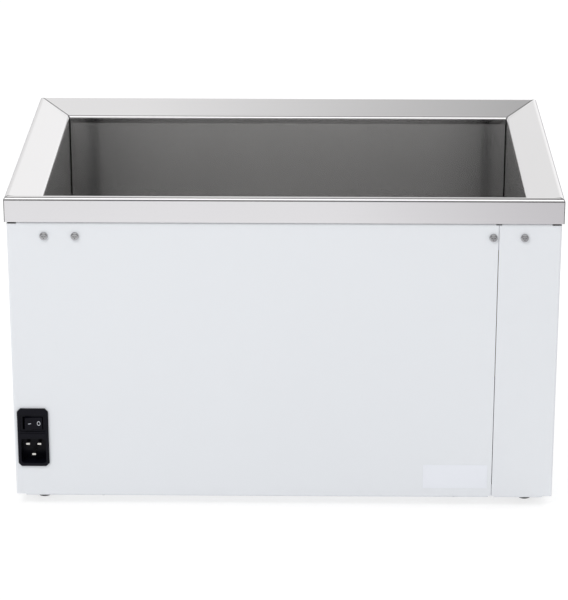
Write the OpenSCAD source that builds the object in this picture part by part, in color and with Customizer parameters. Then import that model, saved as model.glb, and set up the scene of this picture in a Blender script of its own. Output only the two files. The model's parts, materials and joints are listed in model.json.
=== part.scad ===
// Laboratory water bath: a stainless tank in a sloping mitred rim, hung in a folded sheet housing.
// Millimetres, +Z up, origin on the floor under the middle. The mains inlet is on the -Y face.

/* [Overall] */
// Width over the skirt of the rim, along X
rim_w = 574; // [540:1:620]
// Depth over the skirt of the rim, along Y
rim_d = 374; // [360:1:410]
// Height from the floor to the top of the rim
total_h = 346; // [338:1:370]

/* [Rim] */
// Width of the sloping face, from the skirt to the tank's mouth
rim_arm = 37; // [35:0.5:40]
// Fall of the sloping face over that width
rim_drop = 14; // [12:0.5:17]
// Height of the vertical skirt
skirt_h = 27; // [24:0.5:30]
// Thickness of the rim's stainless sheet
rim_t = 1.2; // [1:0.1:1.5]
// Outside radius of the bend between skirt and slope
rim_bend_r = 4; // [2:0.5:5]
// Outside radius of the bend between slope and lip
lip_bend_r = 4; // [2:0.5:5]
// Height of the vertical lip that the tank is welded to
lip_h = 8; // [7:0.5:12]
// Width of the polished weld line along each mitre
mitre_w = 0.8; // [0.5:0.1:1.2]
// Depth of that line
mitre_depth = 0.4; // [0.2:0.1:0.6]

/* [Tank] */
// Height of the tank's floor above the surface that the bath stands on
tank_floor_z = 133.3; // [127:0.1:150]
// Thickness of the tank's stainless sheet
tank_t = 1; // [0.8:0.1:1.5]

/* [Housing] */
// Set-back of the housing from the skirt, on every side
body_inset = 2; // [1.5:0.5:4]
// Thickness of the painted sheet
shell_t = 1.2; // [1:0.1:1.6]
// Outside radius of the folds
shell_bend_r = 2; // [1.7:0.1:3]
// Width of the return that each shell folds round onto the other's face
return_w = 64.4; // [60:0.2:68]
// Gap between the two shells at each seam
seam_gap = 0.6; // [0.4:0.1:1]
// Width of the flange under the skirt
top_flange = 10; // [8:0.5:11]
// Width of the flange at the bottom
bottom_flange = 15; // [14:0.5:16]
// Length without flanges at each upright corner
corner_relief = 10; // [8:0.5:12]
// Length without flanges beside each seam
seam_relief = 3; // [2:0.5:5]

/* [Shell fixings] */
// Height of the shell screws below the top of the rim
screw_drop = 42.5; // [40:0.5:46]
// Distance of the outer screw from the housing's side
screw_outer = 38; // [36:0.5:42]
// Distance between the two screws of a corner
screw_pitch = 32; // [30:0.5:34]
// Diameter of a screw's head
head_d = 8.6; // [8:0.1:9]
// Height of a screw's head
head_h = 2.7; // [2.3:0.1:3]
// Diameter of the M4 screws
screw_d = 3.9; // [3.8:0.05:4]
// Thickness of the corner brackets
bracket_t = 1.5; // [1.2:0.1:2]

/* [Base and feet] */
// Height of the housing above the floor
foot_h = 11; // [9:0.5:14]
// Diameter of a foot
foot_d = 15.5; // [14:0.5:18]
// Distance of a foot's centre from the housing's side
foot_inset_x = 27; // [26:0.5:32]
// Distance of a foot's centre from the housing's front or rear
foot_inset_y = 28; // [27:0.5:32]
// Thickness of the base plate
base_t = 1.5; // [1.2:0.1:2]
// Height of the base plate's turned-up edges
base_edge_h = 14; // [10:0.5:16]
// Width of a ventilation slot
vent_w = 3.2; // [2.5:0.1:4]
// Length of a ventilation slot
vent_l = 44; // [36:1:50]
// Distance between ventilation slots
vent_pitch = 9; // [8:0.5:12]

/* [Label] */
// Width of the bare film label
label_w = 68; // [60:1:75]
// Height of the label
label_h = 27; // [24:1:32]
// Distance of the label from the seam
label_seam = 5; // [3:0.5:10]
// Distance of the label from the housing's lower edge
label_up = 10.8; // [8:0.2:20]

/* [Mains inlet] */
// Width of the inlet's flange
inlet_w = 32.8; // [32:0.1:34]
// Height of the inlet's flange
inlet_h = 65.6; // [64.5:0.1:68]
// Thickness of the inlet's flange
inlet_flange_t = 2; // [1.6:0.1:3]
// Distance of the flange from the housing's left edge
inlet_left = 3.5; // [3:0.1:6]
// Height of the flange's lower edge above the housing's lower edge
inlet_up = 34.9; // [32:0.1:60]
// Depth of the moulding behind the panel
inlet_depth = 30; // [27:0.5:34]
// Width of the socket's recess
socket_w = 26.4; // [25.6:0.1:26.8]
// Height of the socket's recess
socket_h = 27.8; // [26:0.1:28.4]
// Depth of the socket's recess
socket_depth = 17; // [15:0.5:20]
// Width of a contact blade
blade_w = 3.8; // [3:0.1:4.5]
// Thickness of a contact blade
blade_t = 2; // [1.5:0.1:2.4]
// Width of the rocker
rocker_w = 19.4; // [18:0.1:20]
// Height of the rocker
rocker_h = 13.4; // [12:0.1:14]
// Tilt of the rocker to each side
rocker_tilt = 7; // [5:0.5:8]

/* [Control panel] */
// Width of the panel bezel
panel_w = 150; // [146:1:160]
// Height of the panel bezel
panel_h = 66; // [64:1:72]
// Distance of the panel's middle from the housing's left side
panel_left = 167; // [160:1:225]
// Height of the panel's middle above the floor
panel_z = 78; // [72:1:86]
// Thickness of the bezel proud of the housing
panel_proud = 2.3; // [1.8:0.1:3]
// Width of the display window
window_w = 64; // [56:1:66]
// Height of the display window
window_h = 28; // [25:1:32]
// Width of a key
key_w = 13; // [11:0.5:14]
// Height of a key
key_h = 11; // [10:0.5:12]
// Travel of a key
key_travel = 0.8; // [0.5:0.1:1]

/* [Drain] */
// Distance of the drain's axis from the housing's right side
drain_right = 67; // [60:1:80]
// Height of the drain valve's axis above the floor
drain_z = 58; // [56:1:64]
// Inside width of the niche
niche_w = 64; // [60:1:70]
// Inside height of the niche
niche_h = 62; // [60:1:66]
// Depth of the niche behind the panel
niche_depth = 42; // [41:0.5:46]
// Outside diameter of the drain pipe
pipe_d = 18; // [16:0.5:20]
// Radius of the pipe's bend
pipe_bend_r = 26; // [20:1:28]
// Radius of the valve's ball
ball_r = 9; // [8.5:0.1:9]
// Length of the valve's handle
handle_l = 30; // [26:1:32]

/* [Heater] */
// Diameter of the tubular heater
heater_d = 8.5; // [6:0.5:10]
// Distance between the heater's legs
heater_pitch = 50; // [40:1:60]
// Half the length of the heater's straight legs
heater_reach = 165; // [140:1:185]
// Thickness of the plate that presses the heater to the tank
clamp_t = 2; // [1.5:0.1:3]
// Thickness of the insulation round the tank
wool_t = 18; // [12:0.5:18.5]

/* [Electronics] */
// Width of the power board
board_w = 140; // [130:1:150]
// Depth of the power board
board_d = 92; // [88:1:100]
// Height of the power board's spacers
spacer_h = 8; // [6:0.5:12]

/* [Hidden] */
$fn = 48;
fit = 0.3;              // clearance of a moulding in its cut-out
running = 0.1;          // radial clearance of a shaft in its bore
screw_fit = 0.2;        // radial clearance of a screw in sheet
over = 1;               // how far a cut runs past what it cuts

rim_slope = atan(rim_drop / rim_arm);
rim_top_z = total_h + rim_bend_r * ((1 + sin(rim_slope)) / cos(rim_slope) - 1);
rim_edge_z = rim_top_z - rim_drop;
lip_z = rim_edge_z - lip_h;
mouth_w = rim_w - 2 * rim_arm;
mouth_d = rim_d - 2 * rim_arm;
tank_under_z = tank_floor_z - tank_t;
weld_gap = 0.03;        // hairline between the tank's sheets, so that each is a solid of its own

body_w = rim_w - 2 * body_inset;
body_d = rim_d - 2 * body_inset;
body_z = foot_h;
body_top_z = total_h - skirt_h - fit;
face_y = body_d / 2;
side_x = body_w / 2;
seam_x = side_x - return_w;
mitre_gap = 1;          // gap between the flanges of two walls of one sheet
bracket_step = 2.5;     // gap between the top flange and the bracket behind it
bracket_reach = 12;     // length of a bracket beyond its screws
bracket_tail = 14;      // height of a bracket below its screws
screw_z = total_h - screw_drop;
screw_outer_x = side_x - screw_outer;
screw_inner_x = screw_outer_x - screw_pitch;
screw_proud = 1.5;      // length of a screw beyond its nut

base_z = body_z + shell_t;
base_top_z = base_z + base_t;
base_half_w = side_x - shell_bend_r - fit;
base_half_d = face_y - shell_t;
foot_x = side_x - foot_inset_x;
foot_y = face_y - foot_inset_y;
foot_edge_r = 2;
foot_sink = 4.5;        // depth of the recess for the foot's screw
nut_af = 7;             // M4 nut across its flats
nut_h = 3.2;
base_screw_in = bottom_flange - 5.2;    // distance of the base screws from the housing's faces
base_screw_y = face_y - base_screw_in;
base_screw_x = side_x - base_screw_in;
base_screw_end = 92;    // distance of the outer base screw from the housing's side
base_screw_seam = 40;   // distance of the inner base screw from the seam
vent_count = 14;
vent_x = side_x - 165;  // middle of a field of ventilation slots
vent_y = face_y - 115;
label_t = 0.15;

inlet_lap = 2.2;        // width of the flange that covers the panel
inlet_chamfer = 3.5;
inlet_x = -side_x + inlet_left + inlet_w / 2;
inlet_z = body_z + inlet_up + inlet_h / 2;
inlet_face_y = -face_y - inlet_flange_t;
inlet_back_y = -face_y + inlet_depth;
inlet_body_w = inlet_w - 2 * inlet_lap;
inlet_body_h = inlet_h - 2 * inlet_lap;
socket_up = 3.4;        // height of the socket's recess above the flange's lower edge
socket_corner_r = 3;
socket_z = inlet_z - inlet_h / 2 + socket_up + socket_h / 2;
socket_back_y = inlet_face_y + socket_depth;
blade_half_pitch = 6;
blade_sink = 2.6;       // depth of the blades' ends in the recess
tab_l = 8;              // length of the blades and tabs behind the inlet
tab_w = 4.8;
tab_t = 0.8;
tab_x = 7;              // distance of the switch's tabs from the inlet's middle
tab_z = 4;
blade_end_y = inlet_back_y + tab_l;
line_z = socket_z + 7.2;
earth_z = socket_z - 4.6;
rocker_z = inlet_z + inlet_h / 2 - 16.6;
rocker_bay_w = rocker_w + 2;
rocker_bay_h = rocker_h + 1.2;
rocker_bay_depth = 15;
rocker_chamfer = 0.7;
rocker_root_w = 6.4;    // width of the rocker behind its trunnions
rocker_root = 2.6;      // depth of the rocker behind its axis
frame_w = socket_w + 0.6;
frame_h = rocker_bay_h + 4.4;
frame_sink = 1.2;       // depth of the sunk frame round the rocker
ridge_w = inlet_w - 5;  // raised bar between the rocker and the socket
ridge_h = 4.6;
ridge_proud = 0.8;
ridge_z = (socket_z + socket_h / 2 + rocker_z - frame_h / 2) / 2;
pivot_depth = 7;        // depth of the rocker's axis behind the flange's face
pivot_y = inlet_face_y + pivot_depth;
trunnion_r = 1.5;
trunnion_l = 1.2;

board_t = 1.6;
panel_x = -side_x + panel_left;
panel_face_y = face_y + panel_proud;
panel_skin = 2.8;
panel_inner_y = panel_face_y - panel_skin;
panel_lap = 4;          // width of the bezel that covers the housing's face
panel_r = 8;
panel_frame_w = panel_w - 2 * panel_lap;
panel_frame_h = panel_h - 2 * panel_lap;
panel_frame_r = panel_r - 3;
panel_wall = 2;
window_x = panel_x + 33;
window_t = 1.2;
window_ledge = 2;
window_r = 2;
key_x = panel_x - 40;
key_pitch_x = 24;
key_pitch_z = 22;
key_r = 2.5;
keys = [[1, 1], [-1, 1], [1, -1], [-1, -1]];
key_flange = 1;         // width and thickness of the flange that keeps a key in
key_proud = 0.2;        // what stands proud of the bezel when a key is pressed
key_gap = 0.1;          // gap between a pressed key's stem and its switch
key_stem_r = 2;
key_top_y = panel_face_y + key_travel + key_proud;
display_depth = 11;     // depth of the display board behind the bezel's skin
display_board_y = panel_inner_y - display_depth;
display_front_y = display_board_y + board_t;
display_board_w = panel_w - 22;
display_board_h = panel_h - 18;
boss_inset = 4;         // distance of a boss from the display board's edges
boss_x = display_board_w / 2 - boss_inset;
boss_z = display_board_h / 2 - boss_inset;
boss_r = 3.2;
small_screw_r = 1.2;    // screws of the boards
small_head_d = 5;
small_head_h = 1.6;
small_screw_grip = 4;   // length of such a screw in what holds the board
led_w = 50;
led_h = 19;
led_t = 7;
digit_pitch = 12;
digit_w = 7.4;
digit_h = 13;
segment = 1.5;          // width of a segment of a digit
segment_sink = 0.4;
tact_w = 6;
tact_h = 3.5;
plunger_h = 1;
plunger_r = 1.7;
hook_w = 12;
hook_l = 5;
hook_proud = 1.4;
hook_root = 0.5;

drain_x = side_x - drain_right;
niche_t = 2;
niche_flange = 5;
niche_flange_t = 2;
niche_r = 4;            // inside radius of the niche's corners
niche_z = drain_z + 6;
niche_back_y = face_y - niche_depth;
handle_clear = 1.5;     // gap between the open handle and the niche's back
valve_y = niche_back_y + handle_l / 2 + handle_clear;
barrel_r = ball_r + 3;
barrel_back_y = niche_back_y - 9;
barrel_front_y = valve_y + ball_r + 1;
shoulder_l = 2.5;       // collar of the barrel against the niche's back
shoulder_h = 2;
gland_r = 7;
gland_top_z = drain_z + barrel_r + 4;
handle_z = gland_top_z + fit;
handle_t = 6;
handle_w = 7;
handle_end_r = 5;
handle_hub_r = 6.5;
stem_r = 3;
tongue_w = 3;           // width of the stem's tongue in the ball's slot
tongue_h = 2.2;
slot_depth = tongue_h + running;
bore_r = 5;
seat_t = 2.3;
pipe_t = 1;
pipe_straight = 4;      // straight length between the bend and the valve
pipe_y = barrel_back_y - pipe_bend_r - pipe_straight;
locknut_af = 30;
locknut_h = 5;
tail_gap = 1;           // distance of the hose tail's end behind the housing's face
tail_hex_h = 4;
barbs = 3;
barb_r = 7;
barb_root_r = 5.8;

heater_gap = 0.15;
heater_z = tank_under_z - heater_gap - heater_d / 2;
clamp_top_z = heater_z - heater_d / 2 - heater_gap;
clamp_w = 2 * heater_reach + 40;
clamp_d = 3 * heater_pitch + 30;
clamp_r = 8;
stud_x = heater_reach - 10;
stud_y = heater_pitch;
stud_proud = 2;
heater_end_x = -heater_reach - 22;
heater_drop_r = 12;     // bend of the heater's ends
heater_drop = 14;       // straight length below that bend
wool_top = 20;          // distance of the insulation below the rim's lip
wool_up = 10;           // height of its lower edge above the tank's floor
wool_r = 16;
sensor_x = -60;
sensor_l = 34;
sensor_r = 2.5;
sensor_drop = 6;        // depth of the sensor's axis below the tank's floor
clip_x = 9;
clip_w = 6;
clip_d = 10;
clip_h = 8;
slot_x = sensor_x - sensor_l / 2 - 15;  // slot for the sensor's lead
slot_w = 26;
slot_d = 14;
cutout_x = 70;
cutout_r = 8;
cutout_h = 10;
cutout_flange_r = 9;
cutout_window_w = 30;
cutout_window_d = 26;

wiring_x = 55;          // room for the leads between the power board and the housing's sides
wiring_y = 51;
board_x = -side_x + wiring_x + board_w / 2;
board_y = -face_y + wiring_y + board_d / 2;
board_z = base_top_z + spacer_h;
board_top_z = board_z + board_t;
spacer_inset = 5;
spacer_x = board_w / 2 - spacer_inset;
spacer_y = board_d / 2 - spacer_inset;
spacer_r = 3.2;
spacer_floor = 2;
core_x = board_x - 38;  // middle of the transformer
core_y = board_y + 12;
core_size = [44, 26, 34];
coil_size = [28, 36, 24];
relay_size = [18, 24, 16];
relay_pitch = 22;
sink_x = board_x + 34;
sink_y = board_y + 18;
sink_w = 48;
sink_l = 40;
sink_t = 4;
sink_h = 30;
fins = 7;
fin_t = 2;
triac_size = [10, 4.6, 16];

lead_r = 1.3;
sensor_lead_r = 1;
lead_straight = 6;      // straight length of a lead at each end
ways = 4;               // terminals of the block on the power board
way_pitch = 7;
way_depth = 3;
block_w = 12;
block_h = 14;
block_end = 1;          // wall of the block beyond its last way
block_in = 14;          // distance of the first way from the board's edges
stud_place = [-side_x + 40, -face_y + 85];
stud_h = 14;
stud_collar_r = 5;
stud_collar_h = 2;
earth_nut_z = base_top_z + stud_h - nut_h - 1.6;
ribbon_w = 16;
ribbon_t = 1;
ribbon_bend_r = 3;

// Shared shapes

// A rectangle with round corners, about the origin
module rounded_rect(w, h, r) {
    square([w, h - 2 * r], center = true);
    square([w - 2 * r, h], center = true);
    for (sx = [-1, 1], sy = [-1, 1])
        translate([sx * (w / 2 - r), sy * (h / 2 - r)])
            circle(r);
}

function unit(v) = v / norm(v);
function left_of(v) = [-v[1], v[0]];
function turn(a, b, c) = atan2(cross(unit(b - a), unit(c - b)), unit(b - a) * unit(c - b));

// A sheet folded along straight lines and long in Z: pts run along its outer face, and its thickness
// is on their right
module folded_sheet(pts, t, radii, length) {
    last = len(pts) - 1;
    angles = [for (i = [1:last - 1]) turn(pts[i - 1], pts[i], pts[i + 1])];
    trims = [0, for (i = [0:last - 2]) radii[i] * tan(abs(angles[i]) / 2), 0];
    for (i = [0:last - 1]) {
        along = unit(pts[i + 1] - pts[i]);
        from = pts[i] + along * trims[i];
        to = pts[i + 1] - along * trims[i + 1];
        side = -t * left_of(along);
        linear_extrude(length)
            polygon([from, to, to + side, from + side]);
    }
    for (i = [1:last - 1]) {
        before = unit(pts[i] - pts[i - 1]);
        after = unit(pts[i + 1] - pts[i]);
        hand = sign(angles[i - 1]);
        start = pts[i] - before * trims[i];
        centre = start + hand * radii[i - 1] * left_of(before);
        end = pts[i] + after * trims[i];
        other = radii[i - 1] + hand * t;
        linear_extrude(length)
            intersection() {
                translate(centre)
                    difference() {
                        circle(max(radii[i - 1], other));
                        circle(min(radii[i - 1], other));
                    }
                polygon([centre, centre + 2 * (start - centre), centre + 2 * (pts[i] - centre),
                    centre + 2 * (end - centre)]);
            }
    }
}

// Turns a thing drawn long in Z so that it is long in X, from x0, with its X across Y and its Y upright
module along_x(x0) {
    translate([x0, 0, 0])
        rotate([90, 0, 90])
            children();
}

// A flat shape drawn in X and Z, thick from y0 to y1
module slab_y(y0, y1) {
    translate([0, y1, 0])
        rotate([90, 0, 0])
            linear_extrude(y1 - y0)
                children();
}

// A rod along Y
module rod_y(r, y0, y1) {
    translate([0, y0, 0])
        rotate([-90, 0, 0])
            cylinder(r = r, h = y1 - y0);
}

// An upright round cut through what lies between two heights
module hole(r, from_z, to_z) {
    translate([0, 0, from_z - over])
        cylinder(r = r, h = to_z - from_z + 2 * over);
}

// Pan head with a cross recess, its top at +Z, and its shank below
module pan_screw(shank_l, d = screw_d, wide = head_d, high = head_h) {
    round_r = high * 0.6;
    recess_l = wide * 0.54;
    recess_w = wide * 0.11;
    recess_z = high * 0.45;
    difference() {
        union() {
            rotate_extrude()
                intersection() {
                    union() {
                        translate([-wide / 2 + round_r, 0])
                            square([wide - 2 * round_r, high]);
                        square([wide / 2, high - round_r]);
                        translate([wide / 2 - round_r, high - round_r])
                            circle(round_r);
                    }
                    square([wide, high]);
                }
            translate([0, 0, -shank_l])
                cylinder(r = d / 2, h = shank_l + recess_z / 2);
        }
        for (a = [0, 90])
            rotate(a)
                translate([-recess_l / 2, -recess_w / 2, recess_z])
                    cube([recess_l, recess_w, high]);
    }
}

module hex_nut(af = nut_af, h = nut_h, bore = screw_d / 2 + running / 2) {
    difference() {
        cylinder(r = af / 2 / cos(30), h = h, $fn = 6);
        hole(bore, 0, h);
    }
}

// Places one thing at each shell screw, its Z axis pointing out of the housing
module at_shell_screws() {
    for (turned = [0, 180])
        rotate(turned)
            for (x = [-screw_outer_x, -screw_inner_x, screw_inner_x, screw_outer_x])
                translate([x, -face_y, screw_z])
                    rotate([90, 0, 0])
                        children();
}

// Screw places in the bottom flange of one shell
base_places = [[-side_x + base_screw_end, -base_screw_y], [seam_x - base_screw_seam, -base_screw_y],
    [-base_screw_x, 0], [-side_x + return_w / 2, base_screw_y]];

module at_base_screws() {
    for (turned = [0, 180], p = base_places)
        rotate(turned)
            translate([p[0], p[1], 0])
                children();
}

module at_feet() {
    for (sx = [-1, 1], sy = [-1, 1])
        translate([sx * foot_x, sy * foot_y, 0])
            children();
}

// A smooth curve through points chosen by hand
function blend(p, i, f) = let (a = p[max(i - 1, 0)], b = p[i], c = p[i + 1], d = p[min(i + 2, len(p) - 1)])
    0.5 * (2 * b + (c - a) * f + (2 * a - 5 * b + 4 * c - d) * f * f + (3 * b - a - 3 * c + d) * f * f * f);
function smooth(p, steps) = [for (i = [0:len(p) - 2], s = [0:steps - 1]) blend(p, i, s / steps),
    p[len(p) - 1]];
function ahead(path, i) = unit(path[min(i + 1, len(path) - 1)] - path[max(i - 1, 0)]);
// Each ring's sideways direction is carried on from the last one's, so that a wire doesn't twist
function square_to(v, w) = unit(v - (v * w) * w);
function sideways(path) = [for (i = 0, u = unit(cross(ahead(path, 0), [0.3, 0.2, 0.9]));
    i < len(path);
    i = i + 1, u = i < len(path) ? square_to(u, ahead(path, i)) : u) u];

function between(a, b, share) = a + (b - a) * share;

// A round wire through points, straight from the first to the second and up to the last, and smooth
// between them
module wire(points, r) {
    sides = 8;
    last_point = len(points) - 1;
    middle = [for (i = [1:last_point - 1]) points[i]];
    path = [points[0], each smooth(middle, 3), points[last_point]];
    last = len(path) - 1;
    across = sideways(path);
    rings = [for (i = [0:last])
        let (upright = cross(across[i], ahead(path, i)))
            for (k = [0:sides - 1])
                path[i] + r * (cos(k * 360 / sides) * across[i] + sin(k * 360 / sides) * upright)];
    walls = [for (i = [0:last - 1], k = [0:sides - 1])
        let (a = i * sides + k, b = i * sides + (k + 1) % sides)
            [a, b, b + sides, a + sides]];
    first_face = [for (k = [sides - 1:-1:0]) k];
    last_face = [for (k = [0:sides - 1]) last * sides + k];
    polyhedron(rings, [first_face, each walls, last_face]);
}

// Rim and tank

// Outer line of the rim's section: skirt, sloping face and lip; X runs inwards from the skirt
rim_line = [[0, total_h - skirt_h], [0, rim_top_z], [rim_arm, rim_edge_z], [rim_arm, lip_z]];

// One side of the rim, cut at 45 degrees at both ends
module rim_side(length, distance) {
    reach = rim_arm + over;
    intersection() {
        translate([-distance, length / 2, 0])
            rotate([90, 0, 0])
                folded_sheet(rim_line, rim_t, [rim_bend_r, lip_bend_r], length);
        translate([-distance, 0, 0])
            linear_extrude(rim_top_z + over)
                polygon([[0, -length / 2], [reach, -length / 2 + reach], [reach, length / 2 - reach],
                    [0, length / 2]]);
    }
}

module rim_frame() {
    mitre_fall = atan(rim_drop / (rim_arm * sqrt(2)));
    mitre_l = norm([rim_arm, rim_arm, rim_drop]);
    color("gainsboro")
        difference() {
            union() {
                for (a = [0, 180]) {
                    rotate(a)
                        rim_side(rim_d, rim_w / 2);
                    rotate(a + 90)
                        rim_side(rim_w, rim_d / 2);
                }
                translate([0, 0, lip_z])
                    linear_extrude(lip_h - lip_bend_r)
                        difference() {
                            square([mouth_w + rim_t, mouth_d + rim_t], center = true);
                            square([mouth_w, mouth_d], center = true);
                        }
            }
            for (sx = [-1, 1], sy = [-1, 1])
                translate([sx * rim_w / 2, sy * rim_d / 2, rim_top_z])
                    rotate([0, mitre_fall, atan2(-sy, -sx)])
                        translate([rim_bend_r, -mitre_w / 2, -mitre_depth])
                            cube([mitre_l - rim_bend_r, mitre_w, rim_t]);
        }
}

// One wall of the tank, mitred at its upright edges
module tank_wall(length, distance) {
    inner = length / 2 - weld_gap;
    outer = inner + tank_t;
    translate([0, 0, tank_under_z])
        linear_extrude(lip_z - tank_under_z)
            polygon([[-inner, distance], [inner, distance], [outer, distance + tank_t],
                [-outer, distance + tank_t]]);
}

// The tank is welded from five sheets: four walls and the floor between them
module tank() {
    color("silver") {
        for (a = [0, 180]) {
            rotate(a)
                tank_wall(mouth_w, mouth_d / 2);
            rotate(a + 90)
                tank_wall(mouth_d, mouth_w / 2);
        }
        difference() {
            translate([0, 0, tank_under_z])
                linear_extrude(tank_t)
                    square([mouth_w - 2 * weld_gap, mouth_d - 2 * weld_gap], center = true);
            translate([drain_x, pipe_y, 0])
                hole(pipe_d / 2 - pipe_t, tank_under_z, tank_floor_z);
        }
    }
}

// Housing

// Outer line of a shell's section: bottom flange, wall and top flange; X runs inwards from the face
wall_line = [[bottom_flange, body_z], [0, body_z], [0, body_top_z], [top_flange, body_top_z]];
// Outer line of the rear shell seen from above: rear face, left side and the return on the front
shell_line = [[seam_x - seam_gap / 2, -face_y], [-side_x, -face_y], [-side_x, face_y],
    [-seam_x - seam_gap / 2, face_y]];

module wall(length) {
    folded_sheet(wall_line, shell_t, [shell_bend_r, shell_bend_r], length);
}

// The gaps along the diagonals of the two folded corners, where the flanges of two walls would meet
module flange_mitres() {
    for (sy = [-1, 1])
        translate([-side_x, sy * face_y, body_z - over])
            rotate(-sy * 45)
                translate([corner_relief * sqrt(2) - mitre_gap, -mitre_gap / 2, 0])
                    cube([bottom_flange * sqrt(2), mitre_gap, body_top_z - body_z + 2 * over]);
}

// One shell; the other is this one turned round
module shell_blank() {
    difference() {
        union() {
            translate([0, 0, body_z + shell_bend_r])
                folded_sheet(shell_line, shell_t, [shell_bend_r, shell_bend_r],
                    body_top_z - body_z - 2 * shell_bend_r);
            translate([0, -face_y, 0])
                along_x(-side_x + corner_relief)
                    wall(seam_x - seam_relief + side_x - corner_relief);
            translate([-side_x, face_y - corner_relief, 0])
                rotate([90, 0, 0])
                    wall(body_d - 2 * corner_relief);
            rotate(180)
                translate([0, -face_y, 0])
                    along_x(seam_x + seam_relief)
                        wall(return_w - seam_relief - corner_relief);
        }
        flange_mitres();
    }
}

module shell_holes() {
    at_shell_screws()
        hole(screw_d / 2 + fit, -shell_t, 0);
    at_base_screws()
        hole(screw_d / 2 + fit, body_z, base_z);
}

module rear_shell() {
    color("whitesmoke")
        difference() {
            shell_blank();
            shell_holes();
            translate([inlet_x, 0, inlet_z])
                slab_y(-face_y - over, -face_y + shell_t + over)
                    square([inlet_body_w + 2 * fit, inlet_body_h + 2 * fit], center = true);
        }
}

module front_shell() {
    color("whitesmoke")
        difference() {
            rotate(180)
                shell_blank();
            shell_holes();
            translate([panel_x, 0, panel_z])
                slab_y(face_y - shell_t - over, face_y + over)
                    rounded_rect(panel_frame_w + 2 * fit, panel_frame_h + 2 * fit, panel_frame_r);
            translate([drain_x, 0, niche_z])
                slab_y(face_y - shell_t - over, face_y + over)
                    rounded_rect(niche_w + 2 * niche_t + 2 * fit, niche_h + 2 * niche_t + 2 * fit,
                        niche_r + niche_t);
        }
}

// A corner bracket backs the shell, steps in under the top flange and rises to the rim
module bracket(length) {
    step_z = body_top_z - shell_t - fit;
    step_in = top_flange + bracket_step;
    slope = tan(rim_slope);
    under_z = rim_top_z - body_inset * slope - rim_t / cos(rim_slope);
    wide = step_in + bracket_t;
    intersection() {
        folded_sheet([[shell_t, screw_z - bracket_tail], [shell_t, step_z], [step_in, step_z],
            [step_in, rim_top_z]], bracket_t, [bracket_t + 1, 1], length);
        linear_extrude(length)
            polygon([[0, 0], [wide, 0], [wide, under_z - wide * slope], [0, under_z]]);
    }
}

module corner_brackets() {
    color("darkgray")
        difference() {
            for (turned = [0, 180], side = [0, 1])
                rotate(turned)
                    mirror([side, 0, 0])
                        translate([0, -face_y, 0])
                            along_x(screw_inner_x - bracket_reach)
                                bracket(screw_pitch + 2 * bracket_reach);
            at_shell_screws()
                hole(screw_d / 2 + screw_fit, -shell_t - bracket_t, -shell_t);
        }
}

module shell_screws() {
    color("silver")
        at_shell_screws()
            pan_screw(shell_t + bracket_t + nut_h + screw_proud);
}

module bracket_nuts() {
    color("darkgray")
        at_shell_screws()
            translate([0, 0, -shell_t - bracket_t - nut_h])
                hex_nut();
}

module base_plate() {
    edge_top = base_z + base_edge_h;
    color("lightgray")
        difference() {
            along_x(-base_half_w)
                folded_sheet([[base_half_d, edge_top], [base_half_d, base_z], [-base_half_d, base_z],
                    [-base_half_d, edge_top]], base_t, [base_t + 1, base_t + 1], 2 * base_half_w);
            at_base_screws()
                hole(screw_d / 2 + screw_fit, base_z, base_top_z);
            at_feet()
                hole(screw_d / 2 + screw_fit, base_z, base_top_z);
            for (field = [-1, 1], i = [0:vent_count - 1])
                translate([field * vent_x + (i - (vent_count - 1) / 2) * vent_pitch, vent_y, base_z - over])
                    linear_extrude(base_t + 2 * over)
                        rounded_rect(vent_w, vent_l, vent_w / 2 - 0.01);
        }
}

module base_screws() {
    color("silver")
        at_base_screws()
            translate([0, 0, body_z])
                rotate([180, 0, 0])
                    pan_screw(shell_t + base_t + nut_h + screw_proud);
}

module base_nuts() {
    color("darkgray") {
        at_base_screws()
            translate([0, 0, base_top_z])
                hex_nut();
        at_feet()
            translate([0, 0, base_top_z])
                hex_nut();
    }
}

module feet() {
    color("#202020")
        at_feet()
            difference() {
                rotate_extrude()
                    intersection() {
                        translate([0, base_z])
                            mirror([0, 1])
                                union() {
                                    square([foot_d / 2, base_z - foot_edge_r]);
                                    square([foot_d / 2 - foot_edge_r, base_z]);
                                    translate([foot_d / 2 - foot_edge_r, base_z - foot_edge_r])
                                        circle(foot_edge_r);
                                }
                        square([foot_d, base_z]);
                    }
                translate([0, 0, -over])
                    cylinder(r = head_d / 2 + fit, h = foot_sink + over);
                hole(screw_d / 2 + running, 0, base_z);
            }
}

module foot_screws() {
    color("silver")
        at_feet()
            translate([0, 0, foot_sink])
                rotate([180, 0, 0])
                    pan_screw(base_top_z - foot_sink + nut_h + screw_proud);
}

// A plain film label stuck low on the rear shell, with nothing printed on it
module rating_label() {
    color("white")
        translate([seam_x - label_seam - label_w / 2, 0, body_z + label_up + label_h / 2])
            slab_y(-face_y - label_t, -face_y)
                rounded_rect(label_w, label_h, 1.2);
}

// Mains inlet

module inlet_flange() {
    cut = inlet_chamfer;
    w = inlet_w / 2;
    h = inlet_h / 2;
    polygon([[-w + cut, -h], [w - cut, -h], [w, -h + cut], [w, h - cut], [w - cut, h], [-w + cut, h],
        [-w, h - cut], [-w, -h + cut]]);
}

module blade_profile() {
    square([blade_w, blade_t], center = true);
}

module at_blades() {
    for (s = [-1, 1])
        translate([inlet_x + s * blade_half_pitch, 0, line_z])
            children();
    translate([inlet_x, 0, earth_z])
        children();
}

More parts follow.
